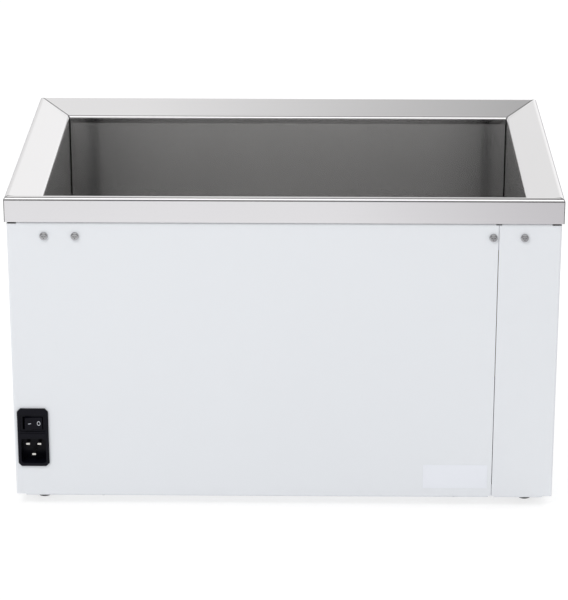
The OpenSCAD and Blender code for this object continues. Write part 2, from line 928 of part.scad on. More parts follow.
module inlet_housing() {
    color("#18181a")
        difference() {
            union() {
                translate([inlet_x, 0, inlet_z]) {
                    slab_y(inlet_face_y, -face_y)
                        inlet_flange();
                    slab_y(-face_y, inlet_back_y)
                        square([inlet_body_w, inlet_body_h], center = true);
                }
                translate([inlet_x, 0, ridge_z])
                    slab_y(inlet_face_y - ridge_proud, inlet_face_y)
                        square([ridge_w, ridge_h], center = true);
            }
            translate([inlet_x, 0, socket_z])
                slab_y(inlet_face_y - over, socket_back_y)
                    rounded_rect(socket_w, socket_h, socket_corner_r);
            translate([inlet_x, 0, rocker_z]) {
                slab_y(inlet_face_y - over, inlet_face_y + frame_sink)
                    rounded_rect(frame_w, frame_h, socket_corner_r / 2);
                slab_y(inlet_face_y - over, inlet_face_y + rocker_bay_depth)
                    square([rocker_bay_w, rocker_bay_h], center = true);
            }
            translate([inlet_x, pivot_y, rocker_z - rocker_bay_h / 2 - trunnion_l - fit])
                cylinder(r = trunnion_r + running, h = rocker_bay_h + 2 * (trunnion_l + fit));
            at_blades()
                slab_y(socket_back_y - over, inlet_back_y + over)
                    blade_profile();
        }
}

module contact_blades() {
    color("silver")
        at_blades()
            slab_y(inlet_face_y + blade_sink, blade_end_y)
                blade_profile();
}

// The rocker, tilted so that its right end is pressed in
module rocker() {
    half = rocker_w / 2;
    rise = half * tan(rocker_tilt);
    color("#18181a")
        translate([inlet_x, pivot_y, rocker_z])
            rotate(rocker_tilt) {
                translate([0, 0, -rocker_h / 2])
                    linear_extrude(rocker_h)
                        polygon([[-half + rocker_chamfer, -pivot_depth - rise], [0, -pivot_depth],
                            [half - rocker_chamfer, -pivot_depth - rise], [half, -pivot_depth / 2],
                            [rocker_root_w / 2, rocker_root], [-rocker_root_w / 2, rocker_root],
                            [-half, -pivot_depth / 2]]);
                translate([0, 0, -rocker_bay_h / 2 - trunnion_l])
                    cylinder(r = trunnion_r, h = rocker_bay_h + 2 * trunnion_l);
            }
}

module switch_tabs() {
    color("silver")
        for (sx = [-1, 1], sz = [-1, 1])
            translate([inlet_x + sx * tab_x, 0, rocker_z + sz * tab_z])
                slab_y(inlet_back_y, inlet_back_y + tab_l)
                    square([tab_w, tab_t], center = true);
}

// Control panel

module at_keys() {
    for (k = keys)
        translate([key_x + k[0] * key_pitch_x / 2, 0, panel_z + k[1] * key_pitch_z / 2])
            children();
}

module at_bosses() {
    for (sx = [-1, 1], sz = [-1, 1])
        translate([panel_x + sx * boss_x, 0, panel_z + sz * boss_z])
            children();
}

// A hook on a moulding that catches behind the front shell
module snap_hook() {
    hook_y = face_y - shell_t - screw_fit;
    along_x(-hook_w / 2)
        linear_extrude(hook_w)
            polygon([[hook_y, -hook_root], [hook_y, hook_proud], [hook_y - hook_l, 0],
                [hook_y - hook_l, -hook_root]]);
}

module panel_bezel() {
    color("#2c2f33")
        difference() {
            union() {
                translate([panel_x, 0, panel_z]) {
                    slab_y(panel_inner_y, panel_face_y)
                        rounded_rect(panel_frame_w, panel_frame_h, panel_frame_r);
                    slab_y(face_y, panel_face_y)
                        rounded_rect(panel_w, panel_h, panel_r);
                    slab_y(display_board_y - panel_wall, panel_face_y)
                        difference() {
                            rounded_rect(panel_frame_w, panel_frame_h, panel_frame_r);
                            rounded_rect(panel_frame_w - 2 * panel_wall, panel_frame_h - 2 * panel_wall,
                                panel_frame_r - panel_wall);
                        }
                    for (sx = [-1, 1], side = [0, 1])
                        mirror([0, 0, side])
                            translate([sx * panel_frame_w / 4, 0, panel_frame_h / 2])
                                snap_hook();
                }
                at_bosses()
                    rod_y(boss_r, display_front_y, panel_inner_y);
            }
            translate([window_x, 0, panel_z]) {
                slab_y(panel_face_y - window_t, panel_face_y + over)
                    rounded_rect(window_w, window_h, window_r);
                slab_y(panel_inner_y - over, panel_face_y)
                    rounded_rect(window_w - 2 * window_ledge, window_h - 2 * window_ledge, window_r / 2);
            }
            at_keys()
                slab_y(panel_inner_y - over, panel_face_y + over)
                    rounded_rect(key_w + 2 * fit, key_h + 2 * fit, key_r + fit);
            at_bosses()
                rod_y(small_screw_r + running, display_board_y, panel_inner_y - over);
        }
}

module display_window() {
    color("#3a1512")
        translate([window_x, 0, panel_z])
            slab_y(panel_face_y - window_t, panel_face_y)
                rounded_rect(window_w - 2 * running, window_h - 2 * running, window_r - running);
}

// A key cap with the flange that keeps it behind the bezel and the stem that works its switch
module key(column, row) {
    back_y = panel_inner_y - fit;
    color("gainsboro")
        translate([key_x + column * key_pitch_x / 2, 0, panel_z + row * key_pitch_z / 2]) {
            slab_y(back_y, key_top_y)
                rounded_rect(key_w, key_h, key_r);
            slab_y(back_y - key_flange, back_y)
                rounded_rect(key_w + 2 * key_flange, key_h + 2 * key_flange, key_r);
            rod_y(key_stem_r, display_front_y + tact_h + plunger_h + key_travel + key_gap, back_y);
        }
}

module key_down() { key(1, -1); }
module key_up() { key(1, 1); }
module key_ok() { key(-1, 1); }
module key_standby() { key(-1, -1); }

module display_board() {
    color("darkgreen")
        difference() {
            translate([panel_x, 0, panel_z])
                slab_y(display_board_y, display_front_y)
                    square([display_board_w, display_board_h], center = true);
            at_bosses()
                rod_y(small_screw_r + screw_fit, display_board_y - over, display_front_y + over);
        }
}

module led_display() {
    inner_w = digit_w - 2 * segment;
    inner_h = (digit_h - 3 * segment) / 2;
    color("dimgray")
        translate([window_x, 0, panel_z])
            difference() {
                slab_y(display_front_y, display_front_y + led_t)
                    square([led_w, led_h], center = true);
                for (i = [-1.5, -0.5, 0.5, 1.5])
                    translate([i * digit_pitch, 0, 0])
                        slab_y(display_front_y + led_t - segment_sink, display_front_y + led_t + over)
                            difference() {
                                square([digit_w, digit_h], center = true);
                                for (s = [-1, 1])
                                    translate([0, s * (inner_h + segment) / 2])
                                        square([inner_w, inner_h], center = true);
                            }
            }
}

module tact_switches() {
    color("#303030")
        at_keys() {
            slab_y(display_front_y, display_front_y + tact_h)
                square([tact_w, tact_w], center = true);
            rod_y(plunger_r, display_front_y + tact_h, display_front_y + tact_h + plunger_h);
        }
}

module panel_screws() {
    color("silver")
        at_bosses()
            translate([0, display_board_y, 0])
                rotate([90, 0, 0])
                    pan_screw(board_t + small_screw_grip, 2 * small_screw_r, small_head_d, small_head_h);
}

// Drain

module niche() {
    color("#222222")
        translate([drain_x, 0, niche_z])
            difference() {
                union() {
                    slab_y(face_y, face_y + niche_flange_t)
                        rounded_rect(niche_w + 2 * niche_flange, niche_h + 2 * niche_flange,
                            niche_r + niche_flange);
                    slab_y(niche_back_y - niche_t, face_y)
                        rounded_rect(niche_w + 2 * niche_t, niche_h + 2 * niche_t, niche_r + niche_t);
                    for (side = [0, 1], sx = [-1, 1])
                        mirror([0, 0, side])
                            translate([sx * niche_w / 4, 0, niche_h / 2 + niche_t])
                                snap_hook();
                }
                slab_y(niche_back_y, face_y + niche_flange_t + over)
                    rounded_rect(niche_w, niche_h, niche_r);
                translate([0, 0, drain_z - niche_z])
                    rod_y(barrel_r + fit, niche_back_y - niche_t - over, niche_back_y + over);
            }
}

// Outlet welded under the tank's floor, bent towards the front
module drain_pipe() {
    outer = pipe_d / 2;
    bend_z = drain_z + pipe_bend_r;
    color("silver")
        difference() {
            pipe_run(outer, 0, bend_z);
            pipe_run(outer - pipe_t, over, bend_z);
        }
}

// The pipe's outside, or its bore with both ends run on
module pipe_run(r, extra, bend_z) {
    translate([drain_x, pipe_y, bend_z])
        cylinder(r = r, h = tank_under_z - bend_z + extra);
    translate([drain_x, pipe_y + pipe_bend_r, bend_z])
        rotate([90, 0, -90])
            rotate_extrude(angle = 90, start = 270)
                translate([pipe_bend_r, 0])
                    circle(r);
    translate([drain_x, 0, drain_z])
        rod_y(r, pipe_y + pipe_bend_r, barrel_back_y + extra);
}

module valve_body() {
    color("lightsteelblue")
        difference() {
            union() {
                translate([drain_x, 0, drain_z]) {
                    rod_y(barrel_r, barrel_back_y, barrel_front_y);
                    rod_y(barrel_r + shoulder_h, niche_back_y, niche_back_y + shoulder_l);
                }
                translate([drain_x, valve_y, drain_z])
                    cylinder(r = gland_r, h = gland_top_z - drain_z);
            }
            translate([drain_x, 0, drain_z]) {
                rod_y(bore_r, barrel_back_y - over, valve_y);
                rod_y(ball_r + fit, valve_y - ball_r - 1, barrel_front_y + over);
            }
            translate([drain_x, valve_y, drain_z])
                cylinder(r = stem_r + running, h = gland_top_z - drain_z + over);
        }
}

module valve_locknut() {
    color("silver")
        translate([drain_x, niche_back_y - niche_t, drain_z])
            rotate([90, 0, 0])
                hex_nut(locknut_af, locknut_h, barrel_r + running / 2);
}

module valve_seats() {
    color("white")
        translate([drain_x, 0, drain_z])
            for (y = [valve_y - ball_r - 1, barrel_front_y - seat_t])
                difference() {
                    rod_y(ball_r + running, y, y + seat_t);
                    rod_y(bore_r + running, y - over, y + seat_t + over);
                }
}

// The ball lies across the bore: the valve is shut
module valve_ball() {
    color("silver")
        translate([drain_x, valve_y, drain_z])
            difference() {
                sphere(ball_r);
                rotate([0, 90, 0])
                    cylinder(r = bore_r, h = 2 * (ball_r + over), center = true);
                translate([-ball_r, -tongue_w / 2 - running, ball_r - slot_depth])
                    cube([2 * ball_r, tongue_w + 2 * running, slot_depth + over]);
            }
}

module valve_stem() {
    color("silver")
        translate([drain_x, valve_y, drain_z]) {
            translate([0, 0, ball_r])
                cylinder(r = stem_r, h = handle_z + handle_t - drain_z - ball_r);
            intersection() {
                translate([0, 0, ball_r - tongue_h])
                    cylinder(r = stem_r, h = tongue_h + over);
                translate([-stem_r, -tongue_w / 2, ball_r - tongue_h])
                    cube([2 * stem_r, tongue_w, tongue_h + over]);
            }
        }
}

module valve_handle() {
    color("#a01818")
        translate([drain_x, valve_y, handle_z])
            difference() {
                union() {
                    linear_extrude(handle_t)
                        square([handle_l - 2 * handle_end_r, handle_w], center = true);
                    for (s = [-1, 1])
                        translate([s * (handle_l / 2 - handle_end_r), 0, 0])
                            cylinder(r = handle_end_r, h = handle_t);
                    cylinder(r = handle_hub_r, h = handle_t);
                }
                hole(stem_r + running / 2, 0, handle_t);
            }
}

// Hose tail with three barbs, screwed against the valve's barrel
module hose_tail() {
    tail_l = face_y - tail_gap - barrel_front_y;
    barb_l = (tail_l - tail_hex_h) / barbs;
    color("lightsteelblue")
        translate([drain_x, barrel_front_y, drain_z])
            rotate([-90, 0, 0])
                difference() {
                    union() {
                        cylinder(r = barrel_r, h = tail_hex_h, $fn = 6);
                        for (i = [0:barbs - 1])
                            translate([0, 0, tail_hex_h + i * barb_l])
                                cylinder(r1 = barb_r, r2 = barb_root_r, h = barb_l);
                    }
                    hole(bore_r - 0.5, 0, tail_l);
                }
}

// Heater and what is fixed to the tank

module u_bend(x, y, facing) {
    translate([x, y, heater_z])
        rotate(facing)
            rotate_extrude(angle = 180, start = -90)
                translate([heater_pitch / 2, 0])
                    circle(heater_d / 2);
}

// Tubular heater in four legs under the floor, its two ends bent down
module heater() {
    color("dimgray") {
        for (i = [0:3]) {
            left_x = i == 0 || i == 3 ? heater_end_x : -heater_reach;
            translate([left_x, (i - 1.5) * heater_pitch, heater_z])
                rotate([0, 90, 0])
                    cylinder(r = heater_d / 2, h = heater_reach - left_x);
        }
        u_bend(heater_reach, -heater_pitch, 0);
        u_bend(heater_reach, heater_pitch, 0);
        u_bend(-heater_reach, 0, 180);
        for (s = [-1, 1])
            translate([heater_end_x, s * 1.5 * heater_pitch, heater_z - heater_drop_r]) {
                rotate([90, 0, 0])
                    rotate_extrude(angle = 90, start = 90)
                        translate([heater_drop_r, 0])
                            circle(heater_d / 2);
                translate([-heater_drop_r, 0, -heater_drop])
                    cylinder(r = heater_d / 2, h = heater_drop);
            }
    }
}

module at_studs() {
    for (sx = [-1, 0, 1], sy = [-1, 1])
        translate([sx * stud_x, sy * stud_y, 0])
            children();
}

// Pressed plate with holes for its studs, a window round the cut-out and a slot for the sensor's lead
module heater_clamp() {
    color("lightgray")
        difference() {
            translate([0, 0, clamp_top_z - clamp_t])
                linear_extrude(clamp_t)
                    rounded_rect(clamp_w, clamp_d, clamp_r);
            at_studs()
                hole(screw_d / 2 + 2 * fit, clamp_top_z - clamp_t, clamp_top_z);
            translate([0, 0, clamp_top_z - clamp_t - over])
                linear_extrude(clamp_t + 2 * over) {
                    translate([cutout_x, 0])
                        rounded_rect(cutout_window_w, cutout_window_d, 3);
                    translate([slot_x, 0])
                        rounded_rect(slot_w, slot_d, 3);
                }
        }
}

module clamp_studs() {
    end_z = clamp_top_z - clamp_t - nut_h - stud_proud;
    color("silver")
        at_studs()
            translate([0, 0, end_z])
                cylinder(r = screw_d / 2, h = tank_under_z - end_z);
}

module clamp_nuts() {
    color("darkgray")
        at_studs()
            translate([0, 0, clamp_top_z - clamp_t - nut_h])
                hex_nut();
}

module tank_insulation() {
    wool_z = tank_floor_z + wool_up;
    inner = 2 * tank_t;
    color("khaki")
        translate([0, 0, wool_z])
            linear_extrude(lip_z - wool_top - wool_z)
                difference() {
                    rounded_rect(mouth_w + inner + 2 * wool_t, mouth_d + inner + 2 * wool_t, wool_r);
                    square([mouth_w + inner, mouth_d + inner], center = true);
                }
}

// Temperature sensor in two clips spot-welded under the floor
module tank_sensor() {
    color("silver")
        translate([sensor_x, 0, tank_under_z]) {
            translate([0, 0, -sensor_drop])
                rotate([0, 90, 0])
                    cylinder(r = sensor_r, h = sensor_l, center = true);
            for (s = [-1, 1])
                translate([s * clip_x - clip_w / 2, -clip_d / 2, -clip_h])
                    cube([clip_w, clip_d, clip_h]);
        }
}

// Disc thermostat that opens when the floor overheats
module overheat_cutout() {
    color("saddlebrown")
        translate([cutout_x, 0, tank_under_z]) {
            translate([0, 0, -1])
                cylinder(r = cutout_flange_r, h = 1);
            translate([0, 0, -cutout_h])
                cylinder(r = cutout_r, h = cutout_h);
            for (s = [-1, 1])
                translate([s * cutout_r / 2 - tab_t / 2, -tab_w / 2, -cutout_h - tab_l])
                    cube([tab_t, tab_w, tab_l + over]);
        }
}

// Electronics on the base plate

module at_spacers() {
    for (sx = [-1, 1], sy = [-1, 1])
        translate([board_x + sx * spacer_x, board_y + sy * spacer_y, 0])
            children();
}

module power_board() {
    color("darkgreen")
        difference() {
            translate([board_x, board_y, board_z])
                linear_extrude(board_t)
                    square([board_w, board_d], center = true);
            at_spacers()
                hole(small_screw_r + 2 * screw_fit, board_z, board_top_z);
        }
}

module board_spacers() {
    color("silver")
        at_spacers()
            translate([0, 0, base_top_z])
                difference() {
                    cylinder(r = spacer_r, h = spacer_h, $fn = 6);
                    translate([0, 0, spacer_floor])
                        cylinder(r = small_screw_r + running, h = spacer_h);
                }
}

module board_screws() {
    color("silver")
        at_spacers()
            translate([0, 0, board_top_z])
                pan_screw(board_t + small_screw_grip, 2 * small_screw_r, small_head_d, small_head_h);
}

module transformer() {
    color("#b8862c")
        translate([core_x, core_y, board_top_z + core_size[2] / 2]) {
            cube(core_size, center = true);
            cube(coil_size, center = true);
        }
}

module relay() {
    color("#2c4a80")
        translate([board_x - 14, board_y - 30, board_top_z])
            for (i = [0, 1])
                translate([i * relay_pitch, 0, 0])
                    linear_extrude(relay_size[2])
                        rounded_rect(relay_size[0], relay_size[1], 1);
}

module heat_sink() {
    color("#3c3c40")
        translate([sink_x, 0, board_top_z])
            slab_y(sink_y - sink_l / 2, sink_y + sink_l / 2) {
                translate([-sink_w / 2, 0])
                    square([sink_w, sink_t]);
                for (i = [0:fins - 1])
                    translate([-sink_w / 2 + i * (sink_w - fin_t) / (fins - 1), 0])
                        square([fin_t, sink_h]);
            }
}

module triac() {
    color("#1c1c1c")
        translate([sink_x, sink_y - sink_l / 2 - triac_size[1] / 2, board_top_z + triac_size[2] / 2])
            cube(triac_size, center = true);
}

// Where a lead enters one way of the terminal block, down to the bottom of its hole
function way(i) = [board_x - board_w / 2 + block_in, board_y - board_d / 2 + block_in + i * way_pitch,
    board_top_z + block_h - way_depth];

module terminal_block() {
    first = way(0);
    color("#3c7848")
        difference() {
            translate([first[0] - block_w / 2, first[1] - way_pitch / 2 - block_end, board_top_z])
                cube([block_w, ways * way_pitch + 2 * block_end, block_h]);
            for (i = [0:ways - 1])
                translate(way(i))
                    cylinder(r = lead_r + fit, h = way_depth + over);
        }
}

module earth_stud() {
    color("silver")
        translate([stud_place[0], stud_place[1], base_top_z]) {
            cylinder(r = screw_d / 2, h = stud_h);
            cylinder(r = stud_collar_r, h = stud_collar_h);
            translate([0, 0, earth_nut_z - base_top_z - nut_h])
                cylinder(r = nut_af / 2 / cos(30), h = nut_h, $fn = 6);
        }
}

// Leads inside the housing, each straight where it leaves a terminal and where it enters one

// The point above a way of the terminal block from which a lead goes straight down
function above_way(i) = way(i) + [0, 0, way_depth + lead_straight];

module mains_leads() {
    color("#203c90")
        for (i = [0, 1]) {
            start = [inlet_x + (2 * i - 1) * blade_half_pitch, blade_end_y, line_z];
            wire([start, start + [0, lead_straight, 0], above_way(i), way(i)], lead_r);
        }
}

module earth_lead() {
    start = [inlet_x, blade_end_y, earth_z];
    end = [stud_place[0], stud_place[1] - screw_d / 2 - running, earth_nut_z + lead_r + running];
    color("#60a030")
        wire([start, start + [0, lead_straight, 0], end - [0, lead_straight, 0], end], lead_r);
}

// The first goes straight to its terminal, the second round the transformer
module heater_leads() {
    end_x = heater_end_x - heater_drop_r;
    end_z = heater_z - heater_drop_r - heater_drop;
    first = [end_x, -1.5 * heater_pitch, end_z];
    second = [end_x, 1.5 * heater_pitch, end_z];
    down = [0, 0, -1.5 * lead_straight];
    beside_x = core_x - core_size[0] / 2 - 4;
    before = [beside_x, core_y + coil_size[1] / 2 + 10, board_top_z + core_size[2] + 10];
    beside = [beside_x, core_y - 4, board_top_z + core_size[2]];
    color("#a04030") {
        wire([first, first + down, above_way(2), way(2)], lead_r);
        wire([second, second + down, between(second + down, before, 1 / 3),
            between(second + down, before, 2 / 3), before, beside, above_way(3), way(3)], lead_r);
    }
}

module sensor_lead() {
    start = [sensor_x - sensor_l / 2, 0, tank_under_z - sensor_drop];
    below = start + [-17, -3, -12];
    end = [sink_x + sink_w / 2 + 4, sink_y - 6, board_top_z];
    over_end = end + [0, 0, sink_h + 8];
    color("white")
        wire([start, start + [-7, 0, 0], start + [-13, -0.5, -4.5], below,
            between(below, over_end, 0.35), between(below, over_end, 0.7), over_end, end], sensor_lead_r);
}

// Flat lead from the power board to the display board
module panel_lead() {
    top_z = panel_z - 12;
    drop_y = display_board_y - 12;
    run_z = board_top_z + 10;
    end_y = sink_y + sink_l / 2 + 2;
    bend = ribbon_bend_r;
    color("#606068")
        along_x(panel_x - ribbon_w / 2)
            folded_sheet([[display_board_y, top_z], [drop_y, top_z], [drop_y, run_z], [end_y, run_z],
                [end_y, board_top_z]], ribbon_t, [bend, bend, bend, bend], ribbon_w);
}

rim_frame();
tank();
rear_shell();
front_shell();
corner_brackets();
shell_screws();
bracket_nuts();
base_plate();
base_screws();
base_nuts();
feet();
foot_screws();
rating_label();
inlet_housing();
contact_blades();
rocker();
switch_tabs();
panel_bezel();
display_window();
key_down();
key_up();
key_ok();
key_standby();
display_board();
led_display();
tact_switches();
panel_screws();
niche();
drain_pipe();
valve_body();
valve_locknut();
valve_seats();
valve_ball();
valve_stem();
valve_handle();
hose_tail();
heater();
heater_clamp();
clamp_studs();
clamp_nuts();
tank_insulation();
tank_sensor();
overheat_cutout();
power_board();
board_spacers();
board_screws();
transformer();
relay();
heat_sink();
triac();
terminal_block();
earth_stud();
mains_leads();
earth_lead();
heater_leads();
sensor_lead();
panel_lead();
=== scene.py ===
import json
import math

import bpy
from mathutils import Matrix, Vector


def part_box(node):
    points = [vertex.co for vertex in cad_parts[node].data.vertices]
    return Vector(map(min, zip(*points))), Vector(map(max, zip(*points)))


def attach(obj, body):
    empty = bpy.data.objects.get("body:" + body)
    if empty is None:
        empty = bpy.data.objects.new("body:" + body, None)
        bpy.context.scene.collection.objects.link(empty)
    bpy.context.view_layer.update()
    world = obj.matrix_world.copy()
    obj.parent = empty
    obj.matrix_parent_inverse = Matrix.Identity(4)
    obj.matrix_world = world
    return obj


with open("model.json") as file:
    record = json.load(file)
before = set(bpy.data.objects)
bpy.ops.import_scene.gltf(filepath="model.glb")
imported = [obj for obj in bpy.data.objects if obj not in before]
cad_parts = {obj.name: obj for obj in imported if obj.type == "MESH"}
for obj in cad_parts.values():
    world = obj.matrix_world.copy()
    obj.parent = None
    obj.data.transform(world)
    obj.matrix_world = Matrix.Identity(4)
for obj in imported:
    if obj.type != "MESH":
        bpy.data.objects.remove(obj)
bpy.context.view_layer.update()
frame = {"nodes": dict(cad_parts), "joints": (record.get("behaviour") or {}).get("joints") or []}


# The camera stands 2.5 m from the bath's rear, a little to the right and 1.2 m up, and looks down at it
# through a long lens. The Standard view shows a colour as it is written.
MM = 0.001
look_down = 20.31
turn_left = 0.73

lens = bpy.data.cameras.new("camera")
lens.sensor_width = 36
lens.lens = 154.3
lens.clip_end = 60
camera = bpy.data.objects.new("camera", lens)
bpy.context.scene.collection.objects.link(camera)
camera.location = (31.9 * MM, -2683 * MM, 1159 * MM)
camera.rotation_euler = (math.radians(90 - look_down), 0, math.radians(turn_left))
bpy.context.scene.camera = camera
bpy.context.scene.view_settings.view_transform = "Standard"


# The tank is a deep trough of thin stainless sheet, rolled bright, welded along its corners and hung from
# the rim's lip. Its walls belly a little, and its drain pipe is drawn from the same steel. Its colour holds
# painted shade: it is darkened on the end walls, along the welded corners and towards the floor. Along the
# near corners this painted shade is 7 mm wide, and the far wall reflects it as dark lines.
class Signal:
    """What one socket of a node gives, ready for plain sums."""

    def __init__(self, nodes, socket):
        self.nodes = nodes
        self.socket = socket

    def math(self, operation, *values):
        return self.nodes.math(operation, *values)

    def __add__(self, other):
        return self.math("ADD", self, other)

    def __radd__(self, other):
        return self.math("ADD", other, self)

    def __sub__(self, other):
        return self.math("SUBTRACT", self, other)

    def __rsub__(self, other):
        return self.math("SUBTRACT", other, self)

    def __mul__(self, other):
        return self.math("MULTIPLY", self, other)

    def __rmul__(self, other):
        return self.math("MULTIPLY", other, self)

    def __gt__(self, other):
        return self.math("GREATER_THAN", self, other)

    def __lt__(self, other):
        return self.math("LESS_THAN", self, other)

    def __abs__(self):
        return self.math("ABSOLUTE", self)

    def between(self, low, high):
        """Rises smoothly from 0 at low to 1 at high."""
        return self.nodes.add("ShaderNodeMapRange", {"interpolation_type": "SMOOTHSTEP"},
                              {"Value": self, "From Min": low, "From Max": high})

    def clamped(self, low, high):
        return self.math("MINIMUM", self.math("MAXIMUM", self, low), high)


class Nodes:
    """The nodes of a material, or of the world."""

    def __init__(self, tree):
        self.tree = tree

    def add(self, kind, settings=None, inputs=None, output=0):
        node = self.tree.nodes.new(kind)
        for name, value in (settings or {}).items():
            setattr(node, name, value)
        for socket, value in (inputs or {}).items():
            self.feed(node.inputs[socket], value)
        return Signal(self, node.outputs[output])

    def feed(self, socket, value):
        if isinstance(value, Signal):
            self.tree.links.new(value.socket, socket)
        else:
            socket.default_value = value

    def math(self, operation, *values):
        return self.add("ShaderNodeMath", {"operation": operation}, dict(enumerate(values)))

    def noise(self, place, scale, detail=2.0):
        """Cloudy noise from 0 to 1, its scale given along each axis, in turns a metre."""
        spread = self.add("ShaderNodeVectorMath", {"operation": "MULTIPLY"}, {0: place, 1: scale})
        return self.add("ShaderNodeTexNoise", {}, {"Vector": spread, "Scale": 1.0, "Detail": detail}, "Fac")

    def blend(self, share, first, second):
        """A colour between two, by a share from 0 to 1."""
        return self.add("ShaderNodeMix", {"data_type": "RGBA"}, {0: share, 6: first, 7: second}, 2)

    def along(self, place, axis):
        return self.add("ShaderNodeSeparateXYZ", {}, {"Vector": place}, axis)

    def ray(self, kind):
        """1 for one kind of ray, and 0 for the others."""
        return self.add("ShaderNodeLightPath", output=f"Is {kind} Ray")


class Finish(Nodes):
    """A material in the making, on the piece's own coordinates."""

    def __init__(self, name, **constants):
        self.material = bpy.data.materials.new(name)
        self.material.use_nodes = True
        super().__init__(self.material.node_tree)
        self.shader = self.tree.nodes["Principled BSDF"]
        self.place = self.add("ShaderNodeTexCoord", output="Object")
        self.set(**constants)

    def set(self, **values):
        for name, value in values.items():
            self.feed(self.shader.inputs[name.replace("_", " ")], value)

    def relief(self, height, depth, under=None):
        """A surface whose height varies by depth, in metres, over another one."""
        inputs = {"Height": height, "Distance": depth, "Strength": 1.0}
        if under is not None:
            inputs["Normal"] = under
        return self.add("ShaderNodeBump", {}, inputs, "Normal")

    def soft_edges(self, radius):
        """The slight rounding that every made edge has."""
        return self.add("ShaderNodeBevel", {"samples": 4}, {"Radius": radius})


def dress(finish, *names):
    """Gives CAD nodes their material."""
    for name in names:
        for slot in frame["nodes"][name].material_slots:
            slot.material = finish.material


def rolled_steel(name, light, dark, polish, belly_depth):
    """Sheet with fine level streaks, a rolled grain that draws out what it reflects, and a belly."""
    steel = Finish(name, Metallic=1.0, Anisotropic=1.0, Anisotropic_Rotation=0.25)
    streaks = steel.noise(steel.place, (5, 5, 700), 3.0)
    belly = steel.noise(steel.place, (4.2, 4.2, 2.5), 0.0)
    wear = steel.noise(steel.place, (12, 12, 3), 2.0)
    steel.sheet = steel.blend(streaks, light, dark)
    steel.set(Base_Color=steel.sheet, Roughness=polish + wear * 0.02, Normal=steel.relief(belly, belly_depth))
    return steel


tank_low, tank_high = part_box("tank")
tank_sheet_t = 1 * MM
wall_x = tank_high.x - tank_sheet_t
wall_y = tank_high.y - tank_sheet_t
# Painted shade: the tank's colour darkens towards its floor, on its end walls and in bands beside its corner
# welds, 1 mm wide at the far wall and 7 mm at the near one.
corner_shade_at_far_wall = 1.0 * MM
corner_shade_at_near_wall = 7.0 * MM
corner_shade_depth = 0.97
bottom_painted_shade = 0.63
end_wall_painted_shade = 0.45
full_tone_above = 20 * MM
end_wall_slack = 0.5 * MM

trough = rolled_steel("tank_steel", (0.86, 0.855, 0.85, 1), (0.81, 0.805, 0.80, 1), 0.145, 0.3 * MM)
across = abs(trough.along(trough.place, "X"))
lengthwise = trough.along(trough.place, "Y")
level = trough.along(trough.place, "Z").between(tank_low.z, tank_high.z + full_tone_above)
# Masks of painted shade: the end walls and the bands beside the corners. With the height they give the
# painted shade that blends the steel towards black.
ends = across > wall_x - end_wall_slack
corner_shade_w = corner_shade_at_far_wall + (lengthwise < 0) * (corner_shade_at_near_wall - corner_shade_at_far_wall)
corner_shade = (wall_x - across < corner_shade_w) * (wall_y - abs(lengthwise) < corner_shade_w)
painted_shade = (bottom_painted_shade + level * (1 - bottom_painted_shade)) * (1 - ends * end_wall_painted_shade) * (1 - corner_shade * corner_shade_depth)
trough.set(Base_Color=trough.blend(painted_shade, (0, 0, 0, 1), trough.sheet), Metallic=0.90)
dress(trough, "tank")
dress(rolled_steel("pipe_steel", (0.66, 0.65, 0.63, 1), (0.58, 0.57, 0.55, 1), 0.22, 0.1 * MM),
      "drain_pipe")


# The rim is folded from heavier stainless sheet, mitred and welded at the corners and ground flush. Its
# satin grain runs along each side, so it turns at the mitres, where a fine dark weld line shows.
rim_low, rim_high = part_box("rim_frame")
mitre = (rim_high.x - rim_low.x) / 2 - (rim_high.y - rim_low.y) / 2
weld_w = 0.8 * MM
weld_dark = 0.85

satin = Finish("satin_rim", Metallic=1.0)
from_mitre = abs(satin.along(satin.place, "X")) - abs(satin.along(satin.place, "Y")) - mitre
on_ends = from_mitre > 0
weld = abs(from_mitre) < weld_w
grain_x = satin.noise(satin.place, (9, 1300, 1300), 3.0)
grain_y = satin.noise(satin.place, (1300, 9, 1300), 3.0)
grain = grain_x + (grain_y - grain_x) * on_ends
cloud = satin.noise(satin.place, (7, 7, 7), 2.0)
sheet = satin.blend(cloud, (0.865, 0.855, 0.86, 1), (0.84, 0.83, 0.835, 1))
satin.set(Base_Color=satin.blend(weld * weld_dark, sheet, (0.08, 0.08, 0.08, 1)),
          Roughness=0.07 + grain * 0.05 + cloud * 0.02,
          Normal=satin.relief(grain, 0.003 * MM, satin.soft_edges(0.4 * MM)))
dress(satin, "rim_frame")


# The housing is two folded steel sheets that hook round each other at opposite corners, over stepped
# brackets. All are powder coated in a faintly bluish white with a fine orange peel, which rounds their
# edges a little.
coat = Finish("powder_coat", IOR=1.5)
peel = coat.noise(coat.place, (520, 520, 520), 1.0)
drift = coat.noise(coat.place, (3, 3, 3), 2.0)
coat.set(Base_Color=coat.blend(drift, (0.80, 0.82, 0.85, 1), (0.775, 0.795, 0.825, 1)),
         Roughness=0.38 + peel * 0.12,
         Normal=coat.relief(peel, 0.012 * MM, coat.soft_edges(0.5 * MM)))
dress(coat, "rear_shell", "front_shell", "corner_brackets")


# The base plate, the heater's clamp and the nuts are zinc plated. The folded sheet has a faint spangle
# and a grey bloom, and the nuts a slightly yellow one.
def zinc_plated(name, light, dark):
    zinc = Finish(name, Metallic=1.0)
    spangle = zinc.add("ShaderNodeTexVoronoi", {}, {"Vector": zinc.place, "Scale": 160.0}, "Color")
    patch = zinc.along(spangle, "X")
    bloom = zinc.noise(zinc.place, (25, 25, 25), 3.0)
    zinc.set(Base_Color=zinc.blend(patch * 0.5 + bloom * 0.5, light, dark),
             Roughness=0.28 + bloom * 0.15 + patch * 0.06)
    return zinc


dress(zinc_plated("zinc_sheet", (0.66, 0.68, 0.70, 1), (0.50, 0.52, 0.55, 1)),
      "base_plate", "heater_clamp")
dress(zinc_plated("zinc_nuts", (0.70, 0.70, 0.66, 1), (0.55, 0.55, 0.50, 1)),
      "bracket_nuts", "base_nuts", "clamp_nuts")


